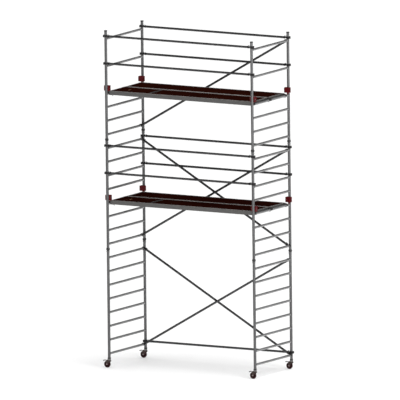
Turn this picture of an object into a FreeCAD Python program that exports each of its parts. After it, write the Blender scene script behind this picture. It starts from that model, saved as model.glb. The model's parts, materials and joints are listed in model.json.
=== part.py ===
import FreeCAD, Part
import os
import Sketcher
from FreeCAD import Placement, Rotation, Vector

# Mobile tower scaffold: three tiers of ladder frames on four braked casters,
# two platform levels, guard rails, diagonal braces and toe-board brackets.
# Millimetres. +Z up, +X along the platforms, +Y from the front side to the back.
# The origin lies on the floor, midway between the four posts.

doc = FreeCAD.newDocument("mobile_tower_scaffold")

DIMENSIONS = [
    # Whole tower
    ("tower_length", 3050, "post centre to post centre along X"),
    ("tower_width", 1300, "post centre to post centre along Y"),
    ("caster_height", 160, "floor to the underside of the base frames"),
    ("frame_height", 2000, "length of a frame's posts"),
    # Ladder frames
    ("post_diameter", 50, "outside of a post"),
    ("post_wall", 2, "wall of a post"),
    ("rung_diameter", 42, "outside of a rung"),
    ("rung_wall", 2, "wall of a rung"),
    ("first_rung", 96, "frame's lower end to its lowest rung"),
    ("rung_pitch", 250, "rung to rung"),
    ("spigot_diameter", 45.6, "outside of the spigot that joins two posts"),
    ("spigot_wall", 3, "wall of a spigot"),
    ("spigot_reach", 120, "how far a spigot enters each post"),
    ("pin_drop", 40, "lock pin below the joint of two posts"),
    ("pin_diameter", 8.6, "lock pin"),
    ("pin_hole", 9, "hole for the lock pin"),
    ("clip_radius", 33, "wire bow of the lock pin, measured to the wire's middle"),
    ("wire_diameter", 3.2, "wire of the lock pin's bow"),
    ("collar_diameter", 59, "ring at each end of a post"),
    ("tube_gap", 0.3, "play between a tube and the collar or socket on it"),
    ("foot_collar", 26, "height of the ring at a post's lower end"),
    ("head_collar", 18, "height of the ring at a post's upper end"),
    # Rails and diagonal braces
    ("rail_diameter", 40, "outside of a rail or a diagonal"),
    ("rail_wall", 2, "wall of a rail or a diagonal"),
    ("rail_above_rung", 50, "rail above the rung beside it"),
    ("rail_start", 60, "post's middle to the end of a rail"),
    ("brace_start", 48, "rung's middle to the end of a diagonal"),
    ("rising_inset", 87, "back posts' plane to the diagonals that rise to the right"),
    ("falling_inset", 46, "back posts' plane to the diagonals that fall to the right"),
    ("brace_steps", 7, "rungs that a diagonal climbs"),
    ("neck_radius", 14, "claw's neck between its jaw and its socket"),
    # Claws
    ("jaw_wall", 9, "thickness of a claw's jaw round a post or rung"),
    ("jaw_gap", 0.2, "play between a jaw and its tube"),
    ("jaw_height", 36, "jaw along its post"),
    ("rung_jaw", 26, "jaw along its rung"),
    ("sleeve_wall", 2.5, "outside of a tube to the outside of the socket on its end"),
    ("sleeve_length", 24, "length of that socket"),
    ("cap_thickness", 4, "closed inner end of that socket"),
    # Platforms
    ("board_width", 577, "one board across"),
    ("board_gap", 6, "between the two boards of a level"),
    ("board_front", 32, "front posts' plane to the front board"),
    ("board_end", 35, "rung's middle to the end of a board"),
    ("deck_top", 43, "top of the plywood above the rung's middle"),
    ("deck_thickness", 12, "plywood"),
    ("flange_thickness", 4, "beam's lip on the plywood"),
    ("side_flange", 36, "width of the lip along the sides"),
    ("end_flange", 20, "width of the lip along the ends"),
    ("beam_wall", 3, "beam's web, ledge and foot"),
    ("beam_bottom", 25, "beam's underside below the rung's middle"),
    ("ledge_width", 30, "ledge that carries the plywood"),
    ("bearer_width", 30, "cross bearer"),
    ("bearer_height", 35, "cross bearer"),
    ("bearer_wall", 2.5, "cross bearer"),
    ("hatch_offset", 200, "board's left end to the hatch opening"),
    ("hatch_length", 600, "hatch opening along X"),
    ("lid_play", 3, "gap round the lid"),
    ("hinge_height", 48.5, "hinge's middle line above the rung's middle"),
    ("knuckle_diameter", 11, "hinge knuckle"),
    ("hinge_pin", 8, "hinge pin"),
    ("hinge_play", 0.05, "radial play of the lid's knuckles"),
    ("hinge_length", 420, "hinge along Y"),
    ("hinge_leaf", 34, "hinge's middle line to the edge of a leaf"),
    ("hook_width", 29.8, "hook casting across"),
    ("hook_middle", 18.1, "board's edge to the hook's middle"),
    # Toe-board brackets
    ("bracket_width", 104, "bracket along X"),
    ("bracket_depth", 70, "post's middle to the bracket's inner face"),
    ("bracket_bottom", 50, "bracket's underside above the rung's middle"),
    ("leg_bottom", 22, "foot of the bracket's leg above the rung's middle"),
    ("bracket_top", 145, "bracket's top above the rung's middle"),
    ("slot_start", 36, "post's middle to the toe-board slot"),
    ("slot_width", 26, "toe-board slot"),
    # Casters
    ("wheel_diameter", 125, "over the tyre"),
    ("wheel_width", 32, "over the tyre"),
    ("rim_diameter", 92, "tyre's seat on the hub"),
    ("trail", 42, "swivel axis to axle"),
    ("axle_diameter", 10, "axle bolt"),
    ("kingpin_diameter", 29.9, "swivel pin"),
    ("bearing_play", 0.05, "radial play of wheel, swivel and pedal bearings"),
    ("stem_flange", 12, "height of the caster's fixed race"),
    ("pedal_height", 134, "pedal's pivot above the floor"),
    ("pedal_back", 50, "swivel axis to the pedal's pivot"),
    ("pedal_pin", 6, "pedal's pivot pin"),
]


def make_sheet():
    """The spreadsheet of driving dimensions, one alias per row."""
    table = doc.addObject("Spreadsheet::Sheet", "dims")
    for row, (alias, number, meaning) in enumerate(DIMENSIONS, start=1):
        table.set(f"A{row}", alias)
        table.set(f"B{row}", str(number))
        table.setAlias(f"B{row}", alias)
        table.set(f"C{row}", meaning)
    doc.recompute()
    return table


sheet = make_sheet()

# Places that several sub-parts share, as expressions of the sheet's cells.
HALF_LENGTH = "dims.tower_length / 2"
HALF_WIDTH = "dims.tower_width / 2"
POST_RADIUS = "dims.post_diameter / 2"
RAIL_RADIUS = "dims.rail_diameter / 2"
RUNG_RADIUS = "dims.rung_diameter / 2"
BRACE_RISE = "dims.brace_steps * dims.rung_pitch"
BRACE_ANGLE = f"atan2({BRACE_RISE}; dims.tower_length)"
BRACE_SPAN = f"sqrt(({BRACE_RISE}) ^ 2 + dims.tower_length ^ 2)"

FRAME_RUNGS = range(8)
TOP_FRAME_RUNGS = (0, 1, 2, 3, 5, 7)
TIERS = range(3)
PLATFORM_TIERS = (1, 2)
PLATFORM_RUNG = 3
RAIL_RUNGS = (5, 7)
LEFT, RIGHT = -1, 1
FRONT, BACK = -1, 1
SIDES = {LEFT: "left", RIGHT: "right"}
ROWS = {FRONT: "front", BACK: "back"}
CORNERS = [(side, row) for side in SIDES for row in ROWS]

sub_parts = []


def value(expression):
    """The number that an expression gives."""
    return float(sheet.evalExpression(str(expression)))


def tier_bottom(tier):
    """Lower end of a tier's frames."""
    return f"(dims.caster_height + {tier} * dims.frame_height)"


def rung_height(tier, rung):
    """Middle line of a rung above the floor."""
    return f"({tier_bottom(tier)} + dims.first_rung + {rung} * dims.rung_pitch)"


# --- Modelling helpers ---------------------------------------------------


def new_body(name):
    """An empty body that may hold several separate solids."""
    body = doc.addObject("PartDesign::Body", name)
    body.AllowCompound = True
    return body


def new_sketch(body, role):
    """A sketch on one of the body's own origin planes."""
    sketch = body.newObject("Sketcher::SketchObject", f"{body.Name}_sketch")
    plane = next(item for item in body.Origin.OriginFeatures if item.Role == role)
    sketch.AttachmentSupport = [(plane, "")]
    sketch.MapMode = "FlatFace"
    return sketch


def bind(sketch, kind, *arguments, to):
    """A constraint whose size follows an expression."""
    index = sketch.addConstraint(Sketcher.Constraint(kind, *arguments, value(to)))
    sketch.setExpression(f"Constraints[{index}]", str(to))


def bind_point(sketch, geometry, end, across, up):
    """Holds a point at a place counted from the sketch's origin."""
    bind(sketch, "DistanceX", -1, 1, geometry, end, to=across)
    bind(sketch, "DistanceY", -1, 1, geometry, end, to=up)


def add_circle(sketch, across, up, radius):
    middle = Vector(value(across), value(up), 0)
    circle = Part.Circle(middle, Vector(0, 0, 1), value(radius))
    geometry = sketch.addGeometry(circle, False)
    bind(sketch, "Radius", geometry, to=radius)
    bind_point(sketch, geometry, 3, across, up)


def add_ring(sketch, across, up, radius, wall):
    add_circle(sketch, across, up, radius)
    add_circle(sketch, across, up, f"{radius} - {wall}")


def add_outline(sketch, corners):
    """A closed outline of straight edges through (across, up) corners."""
    points = [Vector(value(across), value(up), 0) for across, up in corners]
    lines = []
    for start, end in zip(points, points[1:] + points[:1]):
        lines.append(sketch.addGeometry(Part.LineSegment(start, end), False))
    for line, following in zip(lines, lines[1:] + lines[:1]):
        sketch.addConstraint(Sketcher.Constraint("Coincident", line, 2, following, 1))
    for line, (across, up) in zip(lines, corners):
        bind_point(sketch, line, 1, across, up)


def add_rectangle(sketch, left, right, low, high):
    add_outline(sketch, [(left, low), (right, low), (right, high), (left, high)])


def pad(body, sketch, length, symmetric=True):
    feature = body.newObject("PartDesign::Pad", f"{body.Name}_pad")
    feature.Profile = sketch
    feature.SideType = "Symmetric" if symmetric else "One side"
    feature.setExpression("Length", str(length))
    return feature


def pocket(body, sketch):
    """Cuts the sketch right through the body, both ways."""
    feature = body.newObject("PartDesign::Pocket", f"{body.Name}_pocket")
    feature.Profile = sketch
    feature.SideType = "Symmetric"
    feature.Type = "ThroughAll"
    return feature


def revolve(body, sketch, axis):
    feature = body.newObject("PartDesign::Revolution", f"{body.Name}_turn")
    feature.Profile = sketch
    feature.ReferenceAxis = (sketch, [axis])
    feature.Angle = 360
    return feature


def group(label, members):
    """A sub-part that holds its members as separate solids."""
    compound = doc.addObject("Part::Compound", label)
    compound.Label = label
    compound.Links = members
    return compound


def copy_of(master, across, along, up, turn=0, tilt=None):
    """A master at a place, turned about Z by degrees or tilted about Y by an expression."""
    link = doc.addObject("App::Link", f"{master.Name}_copy")
    link.LinkedObject = master
    link.LinkTransform = True
    link.Placement = Placement(Vector(), Rotation(Vector(0, 0, 1), turn))
    if tilt is not None:
        link.Placement = Placement(Vector(), Rotation(Vector(0, 1, 0), 1))
        link.setExpression("Placement.Rotation.Angle", tilt)
    link.setExpression("Placement.Base.x", str(across))
    link.setExpression("Placement.Base.y", str(along))
    link.setExpression("Placement.Base.z", str(up))
    return link


def sub_part(label, members):
    sub_parts.append(group(label, members))


def turned(side):
    """Half a turn for what stands at the right end or in the back row."""
    return 0 if side < 0 else 180


def pair(master, reach):
    """A master at both ends of a span along X, facing each other."""
    ends = []
    for side in SIDES:
        ends.append(copy_of(master, f"{side} * {reach}", 0, 0, turned(side)))
    return group(f"{master.Name}_pair", ends)


# --- Ladder frames -------------------------------------------------------


def frame_posts(name):
    """Two upright tubes, drilled for the lock pins near their upper ends."""
    body = new_body(name)
    sketch = new_sketch(body, "XY_Plane")
    for row in ROWS:
        add_ring(sketch, 0, f"{row} * {HALF_WIDTH}", POST_RADIUS, "dims.post_wall")
    pad(body, sketch, "dims.frame_height", symmetric=False)
    holes = new_sketch(body, "YZ_Plane")
    for row in ROWS:
        height = "dims.frame_height - dims.pin_drop"
        add_circle(holes, f"{row} * {HALF_WIDTH}", height, "dims.pin_hole / 2")
    pocket(body, holes)
    return body


def frame_rungs(name, steps):
    """Rungs whose ends are coped to the round of the posts."""
    body = new_body(name)
    sketch = new_sketch(body, "XZ_Plane")
    for step in steps:
        height = f"dims.first_rung + {step} * dims.rung_pitch"
        add_ring(sketch, 0, height, RUNG_RADIUS, "dims.rung_wall")
    pad(body, sketch, "dims.tower_width")
    coping = new_sketch(body, "XY_Plane")
    for row in ROWS:
        add_circle(coping, 0, f"{row} * {HALF_WIDTH}", POST_RADIUS)
    pocket(body, coping)
    return body


def make_frames():
    posts = frame_posts("frame_posts")
    rungs = frame_rungs("frame_rungs", FRAME_RUNGS)
    top_rungs = frame_rungs("top_frame_rungs", TOP_FRAME_RUNGS)
    names = ("base", "middle", "top")
    for side, side_name in SIDES.items():
        for tier, tier_name in zip(TIERS, names):
            used_rungs = top_rungs if tier_name == "top" else rungs
            place = (f"{side} * {HALF_LENGTH}", 0, tier_bottom(tier))
            members = [copy_of(posts, *place), copy_of(used_rungs, *place)]
            sub_part(f"{side_name}_{tier_name}_frame", members)


def post_places(tiers):
    """Every post's lower end in the given tiers."""
    for tier in tiers:
        for side, row in CORNERS:
            yield f"{side} * {HALF_LENGTH}", f"{row} * {HALF_WIDTH}", tier_bottom(tier)


def tube_master(name, radius, wall, length):
    """An upright tube on the origin."""
    body = new_body(name)
    sketch = new_sketch(body, "XY_Plane")
    add_ring(sketch, 0, 0, radius, wall)
    pad(body, sketch, length, symmetric=False)
    return body


def make_spigots():
    """Tubes inside the joints, drilled for the lock pins."""
    length = "2 * dims.spigot_reach"
    body = tube_master("spigot", "dims.spigot_diameter / 2", "dims.spigot_wall", length)
    hole = new_sketch(body, "YZ_Plane")
    add_circle(hole, 0, "dims.spigot_reach - dims.pin_drop", "dims.pin_hole / 2")
    pocket(body, hole)
    members = []
    for across, along, up in post_places(TIERS[1:]):
        members.append(copy_of(body, across, along, f"{up} - dims.spigot_reach"))
    sub_part("frame_spigots", members)


def make_collars():
    """Rings round both ends of every post."""
    outside = "dims.collar_diameter / 2"
    wall = f"({outside} - {POST_RADIUS} - dims.tube_gap)"
    foot = tube_master("foot_collar", outside, wall, "dims.foot_collar")
    head = tube_master("head_collar", outside, wall, "dims.head_collar")
    members = []
    for across, along, up in post_places(TIERS):
        members.append(copy_of(foot, across, along, up))
        head_up = f"{up} + dims.frame_height - dims.head_collar"
        members.append(copy_of(head, across, along, head_up))
    sub_part("post_collars", members)


def make_lock_pins():
    """Pins through the joints, each with a wire bow that snaps round the post."""
    rod = doc.addObject("Part::Cylinder", "lock_pin_rod")
    rod.setExpression("Radius", "dims.pin_diameter / 2")
    rod.setExpression("Height", "2 * (dims.clip_radius + dims.wire_diameter)")
    rod.Placement.Rotation = Rotation(Vector(0, 1, 0), 90)
    rod.setExpression("Placement.Base.x", "-(dims.clip_radius + dims.wire_diameter)")
    bow = doc.addObject("Part::Torus", "lock_pin_bow")
    bow.setExpression("Radius1", "dims.clip_radius")
    bow.setExpression("Radius2", "dims.wire_diameter / 2")
    bow.Angle3 = 180
    bow.Placement.Rotation = Rotation(Vector(0, 0, 1), 180)
    pin = doc.addObject("Part::Fuse", "lock_pin")
    pin.Base = rod
    pin.Tool = bow
    members = []
    for across, along, up in post_places(TIERS[1:]):
        members.append(copy_of(pin, across, along, f"{up} - dims.pin_drop"))
    sub_part("frame_lock_pins", members)


# --- Rails, diagonals and their claws -------------------------------------


def brace_tube(name, length, lift):
    """A tube along X, centred on the origin but for its lift."""
    body = new_body(name)
    sketch = new_sketch(body, "YZ_Plane")
    add_ring(sketch, 0, lift, RAIL_RADIUS, "dims.rail_wall")
    pad(body, sketch, length)
    return body


def claw_jaw(name, role, inside, height, mouth):
    """A ring on the given plane, opened by a mouth of (left, right, low, high)."""
    jaw = new_body(name)
    sketch = new_sketch(jaw, role)
    add_ring(sketch, 0, 0, f"({inside} + dims.jaw_wall)", "dims.jaw_wall")
    pad(jaw, sketch, height)
    opening = new_sketch(jaw, role)
    add_rectangle(opening, *mouth)
    pocket(jaw, opening)
    return jaw


def claw_neck(name, inside, reach, lift, turn):
    """A bar from the jaw to the socket, hollowed where the held tube passes."""
    bar = new_body(f"{name}_bar")
    sketch = new_sketch(bar, "YZ_Plane")
    add_circle(sketch, 0, lift, "dims.neck_radius")
    pad(bar, sketch, reach, symmetric=False)
    held = doc.addObject("Part::Cylinder", f"{name}_bore")
    held.setExpression("Radius", inside)
    held.setExpression("Height", "4 * dims.jaw_height")
    held.Placement.Rotation = turn
    axis = turn.multVec(Vector(0, 0, 1))
    held.setExpression("Placement.Base.y", f"{-axis.y:.0f} * 2 * dims.jaw_height")
    held.setExpression("Placement.Base.z", f"{-axis.z:.0f} * 2 * dims.jaw_height")
    neck = doc.addObject("Part::Cut", name)
    neck.Base = bar
    neck.Tool = held
    return neck


def claw(name, jaw, neck, reach, lift):
    """Jaw, neck and the closed socket that takes the end of a tube along +X."""
    sleeve = new_body(f"{name}_sleeve")
    sketch = new_sketch(sleeve, "YZ_Plane")
    outside = f"({RAIL_RADIUS} + dims.sleeve_wall)"
    add_ring(sketch, 0, lift, outside, "(dims.sleeve_wall - dims.tube_gap)")
    pad(sleeve, sketch, "dims.sleeve_length", symmetric=False)
    cap = new_body(f"{name}_cap")
    sketch = new_sketch(cap, "YZ_Plane")
    add_circle(sketch, 0, lift, outside)
    pad(cap, sketch, "dims.cap_thickness", symmetric=False)
    for item in (sleeve, cap):
        item.setExpression("Placement.Base.x", f"{reach} - dims.cap_thickness")
    whole = doc.addObject("Part::MultiFuse", name)
    whole.Shapes = [jaw, neck, sleeve, cap]
    return whole


def post_claw():
    """Claw whose jaw takes an upright post from the rail's side."""
    inside = f"({POST_RADIUS} + dims.jaw_gap)"
    mouth = (f"-2 * {POST_RADIUS}", f"-0.55 * {POST_RADIUS}")
    mouth += (f"-0.8 * {POST_RADIUS}", f"0.8 * {POST_RADIUS}")
    jaw = claw_jaw("rail_jaw", "XY_Plane", inside, "dims.jaw_height", mouth)
    upright = Rotation()
    neck = claw_neck("rail_neck", inside, "dims.rail_start", "0", upright)
    return claw("rail_claw", jaw, neck, "dims.rail_start", "0")


def rung_claw(name, lift):
    """Claw whose jaw hooks over a rung, open outwards and down."""
    inside = f"({RUNG_RADIUS} + dims.jaw_gap)"
    mouth = (f"-4 * {RUNG_RADIUS}", "4", f"-4 * {RUNG_RADIUS}", "0")
    height = "dims.rung_jaw"
    jaw = claw_jaw(f"{name}_jaw", "XZ_Plane", inside, height, mouth)
    level = Rotation(Vector(1, 0, 0), -90)
    neck = claw_neck(f"{name}_neck", inside, "dims.brace_start", lift, level)
    return claw(name, jaw, neck, "dims.brace_start", lift)


def latch_master(name, start, top):
    """Sprung trigger on a claw: a plate on the jaw that ends in a thumb lever."""
    body = new_body(name)
    sketch = new_sketch(body, "XZ_Plane")
    lower = [(0, 0), (16, 0), (30, 5), (46, 8)]
    upper = [(44, 12), (27, 9), (14, 5), (0, 5)]
    corners = [(f"{start} + {along}", f"{top} + {up}") for along, up in lower + upper]
    add_outline(sketch, corners)
    pad(body, sketch, "14")
    return body


def rail_places():
    """Row, height and node of every rail; the base brace runs at the back only."""
    for tier, name in zip(PLATFORM_TIERS, ("lower_guard_rails", "upper_guard_rails")):
        for rung in RAIL_RUNGS:
            for row in ROWS:
                yield row, f"{rung_height(tier, rung)} + dims.rail_above_rung", name
    yield BACK, f"{rung_height(0, 0)} + dims.rail_above_rung", "base_brace"


def make_rails():
    tube = brace_tube("rail_tube", "dims.tower_length - 2 * dims.rail_start", "0")
    claws = pair(post_claw(), HALF_LENGTH)
    start = f"{POST_RADIUS} + 1.5"
    latch = latch_master("rail_latch", start, f"({RAIL_RADIUS} + 1.8)")
    latches = pair(latch, HALF_LENGTH)
    tubes = {}
    places = []
    for row, height, name in rail_places():
        place = (0, f"{row} * {HALF_WIDTH}", height)
        tubes.setdefault(name, []).append(copy_of(tube, *place))
        places.append(place)
    for name, members in tubes.items():
        sub_part(name, members)
    sub_part("rail_claws", [copy_of(claws, *place) for place in places])
    sub_part("rail_claw_latches", [copy_of(latches, *place) for place in places])


# Tier, direction (+1 rises to the right, -1 falls) and how far the tube's middle
# line lies above the line from rung to rung: the claws sit a little differently.
DIAGONALS = ((0, 1, "-4"), (0, -1, "15"), (1, 1, "0"), (1, -1, "-2"), (2, 1, "-6"))


def make_diagonals():
    half_span = f"({BRACE_SPAN} / 2)"
    length = f"2 * ({half_span} - dims.brace_start)"
    nodes = {"diagonal_braces": [], "diagonal_claws": [], "diagonal_claw_latches": []}
    for number, (tier, direction, lift) in enumerate(DIAGONALS, start=1):
        inset = "dims.rising_inset" if direction > 0 else "dims.falling_inset"
        middle = f"{rung_height(tier, 0)} + {BRACE_RISE} / 2"
        place = (0, f"{HALF_WIDTH} - {inset}", middle)
        tilt = f"-({direction}) * {BRACE_ANGLE}"
        top = f"({lift} + {RAIL_RADIUS} + dims.sleeve_wall + 0.3)"
        start = f"({RUNG_RADIUS} + dims.jaw_wall + 1)"
        latch = latch_master(f"diagonal_latch_{number}", start, top)
        masters = (
            brace_tube(f"diagonal_tube_{number}", length, lift),
            pair(rung_claw(f"diagonal_claw_{number}", lift), half_span),
            pair(latch, half_span),
        )
        for members, master in zip(nodes.values(), masters):
            members.append(copy_of(master, *place, tilt=tilt))
    for name, members in nodes.items():
        sub_part(name, members)


# --- Platforms -------------------------------------------------------------

BOARD_END = f"({HALF_LENGTH} - dims.board_end)"
DECK_BOTTOM = "(dims.deck_top - dims.deck_thickness)"
LIP_TOP = "(dims.deck_top + dims.flange_thickness)"
HATCH_LEFT = f"(-{BOARD_END} + dims.hatch_offset)"
HATCH_RIGHT = f"({HATCH_LEFT} + dims.hatch_length)"


def board_front(row):
    """Front edge of the front or the back board."""
    front = f"(-{HALF_WIDTH} + dims.board_front)"
    return front if row == FRONT else f"({front} + dims.board_width + dims.board_gap)"


def beam_profile(edge, inward, flange):
    """A beam's section: web on the edge, lip, ledge and foot towards the inside."""
    ledge_top = DECK_BOTTOM
    ledge_low = f"({DECK_BOTTOM} - dims.beam_wall)"
    foot_top = "(dims.beam_wall - dims.beam_bottom)"
    web = f"{edge} + ({inward}) * dims.beam_wall"
    shelf = f"{edge} + ({inward}) * dims.ledge_width"
    lip = f"{edge} + ({inward}) * {flange}"
    return [
        (edge, "-dims.beam_bottom"),
        (shelf, "-dims.beam_bottom"),
        (shelf, foot_top),
        (web, foot_top),
        (web, ledge_low),
        (shelf, ledge_low),
        (shelf, ledge_top),
        (web, ledge_top),
        (web, "dims.deck_top"),
        (lip, "dims.deck_top"),
        (lip, LIP_TOP),
        (edge, LIP_TOP),
    ]


def side_beams():
    body = new_body("side_beams")
    sketch = new_sketch(body, "YZ_Plane")
    add_outline(sketch, beam_profile("0", "1", "dims.side_flange"))
    add_outline(sketch, beam_profile("dims.board_width", "-1", "dims.side_flange"))
    pad(body, sketch, f"2 * {BOARD_END}")
    return body


def end_beams():
    """Beams across both ends, between the lips of the side beams."""
    body = new_body("end_beams")
    sketch = new_sketch(body, "XZ_Plane")
    add_outline(sketch, beam_profile(f"-{BOARD_END}", "1", "dims.end_flange"))
    add_outline(sketch, beam_profile(BOARD_END, "-1", "dims.end_flange"))
    pad(body, sketch, "dims.board_width - 2 * dims.side_flange")
    body.setExpression("Placement.Base.y", "dims.board_width / 2")
    return body


def bearers(name, places):
    """Square tubes under the plywood, between the side beams."""
    body = new_body(name)
    sketch = new_sketch(body, "XZ_Plane")
    low = f"{DECK_BOTTOM} - dims.bearer_height"
    wall = "dims.bearer_wall"
    for place in places:
        left = f"{place} - dims.bearer_width / 2"
        right = f"{place} + dims.bearer_width / 2"
        add_rectangle(sketch, left, right, low, DECK_BOTTOM)
        inner = (f"{left} + {wall}", f"{right} - {wall}")
        add_rectangle(sketch, *inner, f"{low} + {wall}", f"{DECK_BOTTOM} - {wall}")
    pad(body, sketch, "dims.board_width - 2 * dims.ledge_width")
    body.setExpression("Placement.Base.y", "dims.board_width / 2")
    return body


def deck(name, spans):
    """Plywood panels between the side beams' webs, one for each (left, right) span."""
    body = new_body(name)
    sketch = new_sketch(body, "XY_Plane")
    edge = "dims.beam_wall + 0.5"
    for left, right in spans:
        add_rectangle(sketch, left, right, edge, f"dims.board_width - ({edge})")
    pad(body, sketch, "dims.deck_thickness", symmetric=False)
    body.setExpression("Placement.Base.z", DECK_BOTTOM)
    return body


def make_boards():
    sides = side_beams()
    ends = end_beams()
    steps = [f"{step} * {BOARD_END} / 3" for step in (-2, -1, 0, 1, 2)]
    plain_bearers = bearers("plain_bearers", steps)
    hatch_steps = [HATCH_LEFT, HATCH_RIGHT] + steps[2:]
    hatch_bearers = bearers("hatch_bearers", hatch_steps)
    panel_end = f"({BOARD_END} - dims.beam_wall - 0.5)"
    plain_deck = deck("plain_deck", [(f"-{panel_end}", panel_end)])
    short_panel = (f"-{panel_end}", HATCH_LEFT)
    long_panel = (HATCH_RIGHT, panel_end)
    hatch_deck = deck("hatch_deck", [short_panel, long_panel])
    for tier, level in zip(PLATFORM_TIERS, ("lower", "upper")):
        for row, row_name in ROWS.items():
            place = (0, board_front(row), rung_height(tier, PLATFORM_RUNG))
            cross = hatch_bearers if row == FRONT else plain_bearers
            panels = hatch_deck if row == FRONT else plain_deck
            beams = [copy_of(item, *place) for item in (sides, ends, cross)]
            sub_part(f"{level}_{row_name}_board_frame", beams)
            sub_part(f"{level}_{row_name}_deck", [copy_of(panels, *place)])


def make_lids():
    """Hatch lids with a finger hole and their half of the hinge."""
    ply = new_body("lid_ply")
    sketch = new_sketch(ply, "XY_Plane")
    edge = "dims.side_flange + dims.lid_play"
    far_edge = f"dims.board_width - ({edge})"
    left = f"{HATCH_LEFT} + dims.lid_play"
    right = f"{HATCH_RIGHT} - dims.lid_play"
    add_rectangle(sketch, left, right, edge, far_edge)
    pad(ply, sketch, "dims.deck_thickness - 0.3", symmetric=False)
    finger = new_sketch(ply, "XY_Plane")
    middle = "dims.board_width / 2"
    hole = (f"{middle} - 45", f"{middle} + 45")
    add_rectangle(finger, f"{left} + 45", f"{left} + 75", *hole)
    pocket(ply, finger)
    ply.setExpression("Placement.Base.z", f"{DECK_BOTTOM} + 0.3")
    leaf = hinge_half("lid_hinge", -1, (1, 3, 5), "dims.hinge_play")
    for tier, level in zip(PLATFORM_TIERS, ("lower", "upper")):
        place = (0, board_front(FRONT), rung_height(tier, PLATFORM_RUNG))
        sub_part(f"{level}_hatch_lid", [copy_of(ply, *place), copy_of(leaf, *place)])


def hinge_half(name, direction, stations, play):
    """Leaf and knuckles of a strip hinge; seven stations of equal length along Y."""
    leaf = new_body(f"{name}_leaf")
    sketch = new_sketch(leaf, "XY_Plane")
    start = "(dims.board_width / 2 - dims.hinge_length / 2)"
    station_length = "dims.hinge_length / 7"
    near = f"{HATCH_RIGHT} + ({direction}) * (dims.knuckle_diameter / 2 + 1)"
    far = f"{HATCH_RIGHT} + ({direction}) * dims.hinge_leaf"
    add_rectangle(sketch, near, far, start, f"{start} + dims.hinge_length")
    pad(leaf, sketch, "2", symmetric=False)
    leaf.setExpression("Placement.Base.z", "dims.deck_top")
    solids = [leaf]
    for station in stations:
        knuckle = new_body(f"{name}_knuckle")
        sketch = new_sketch(knuckle, "XZ_Plane")
        radius = "dims.knuckle_diameter / 2"
        add_circle(sketch, HATCH_RIGHT, "dims.hinge_height", radius)
        pad(knuckle, sketch, f"{station_length} - 1")
        tab = new_sketch(knuckle, "XZ_Plane")
        add_rectangle(tab, HATCH_RIGHT, near, "dims.deck_top", "dims.deck_top + 2")
        pad(knuckle, tab, f"{station_length} - 1")
        middle = f"{start} + {station + 0.5} * {station_length}"
        knuckle.setExpression("Placement.Base.y", middle)
        solids.append(knuckle)
    whole = doc.addObject("Part::MultiFuse", f"{name}_whole")
    whole.Shapes = solids
    half = doc.addObject("Part::Cut", name)
    half.Base = whole
    half.Tool = hinge_pin(f"{name}_bore", f"dims.hinge_pin / 2 + {play}")
    return half


def hinge_pin(name, radius):
    """A cylinder along the hinge, as long as its leaves."""
    pin = doc.addObject("Part::Cylinder", name)
    pin.setExpression("Radius", radius)
    pin.setExpression("Height", "dims.hinge_length")
    pin.Placement.Rotation = Rotation(Vector(1, 0, 0), -90)
    pin.setExpression("Placement.Base.x", HATCH_RIGHT)
    pin.setExpression("Placement.Base.y", "(dims.board_width - dims.hinge_length) / 2")
    pin.setExpression("Placement.Base.z", "dims.hinge_height")
    return pin


def make_hinges():
    """The fixed hinge halves with their pins."""
    fixed = hinge_half("fixed_hinge", 1, (0, 2, 4, 6), "0")
    pin = hinge_pin("hatch_hinge_pin", "dims.hinge_pin / 2")
    members = []
    for tier in PLATFORM_TIERS:
        place = (0, board_front(FRONT), rung_height(tier, PLATFORM_RUNG))
        members += [copy_of(fixed, *place), copy_of(pin, *place)]
    sub_part("hatch_hinges", members)


def hook_master():
    """Casting in a side beam's end whose nose lies over the rung at the origin."""
    body = new_body("deck_hook")
    sketch = new_sketch(body, "XZ_Plane")
    inside = f"({RUNG_RADIUS} + 0.4)"
    plug_top = f"({DECK_BOTTOM} - dims.beam_wall - 0.3)"
    face = "dims.board_end - 0.3"
    corners = [
        (inside, "-16"),
        ("dims.board_end + 60", "-16"),
        ("dims.board_end + 60", plug_top),
        (face, plug_top),
        (face, "42"),
        ("18", "42"),
        ("-8", "36"),
        ("-33", "18"),
        ("-33", "-10"),
        (f"-{inside}", "-10"),
        (f"-{inside}", "0"),
        (inside, "0"),
    ]
    add_outline(sketch, corners)
    pad(body, sketch, "dims.hook_width")
    saddle = new_sketch(body, "XZ_Plane")
    add_circle(saddle, 0, 0, inside)
    pocket(body, saddle)
    return body


def catch_master():
    """Sliding plate under rung and beam, with a thumb tab at its inner end."""
    body = new_body("wind_catch")
    sketch = new_sketch(body, "XZ_Plane")
    corners = [("-18", "-29.5"), ("106", "-29.5"), ("106", "-45"), ("110", "-45")]
    corners += [("110", "-25.5"), ("-18", "-25.5")]
    add_outline(sketch, corners)
    pad(body, sketch, "22")
    return body


def beam_line(row, beam):
    """Middle of the hooks in a board's front or back side beam."""
    inset = "dims.hook_middle" if beam == FRONT else "dims.board_width - dims.hook_middle"
    return f"{board_front(row)} + {inset}"


def make_hooks():
    """Four hooks to a board, and a catch at two of them, diagonally opposite."""
    hook = hook_master()
    catch = catch_master()
    for tier, level in zip(PLATFORM_TIERS, ("lower", "upper")):
        hooks = []
        for row, row_name in ROWS.items():
            for side, side_name in SIDES.items():
                for beam in ROWS:
                    across = f"{side} * {HALF_LENGTH}"
                    height = rung_height(tier, PLATFORM_RUNG)
                    place = (across, beam_line(row, beam), height, turned(side))
                    hooks.append(copy_of(hook, *place))
                    if side == beam:
                        label = f"{level}_{row_name}_{side_name}_catch"
                        sub_part(label, [copy_of(catch, *place)])
        sub_part(f"{level}_deck_hooks", hooks)


# --- Toe-board brackets ----------------------------------------------------


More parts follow.
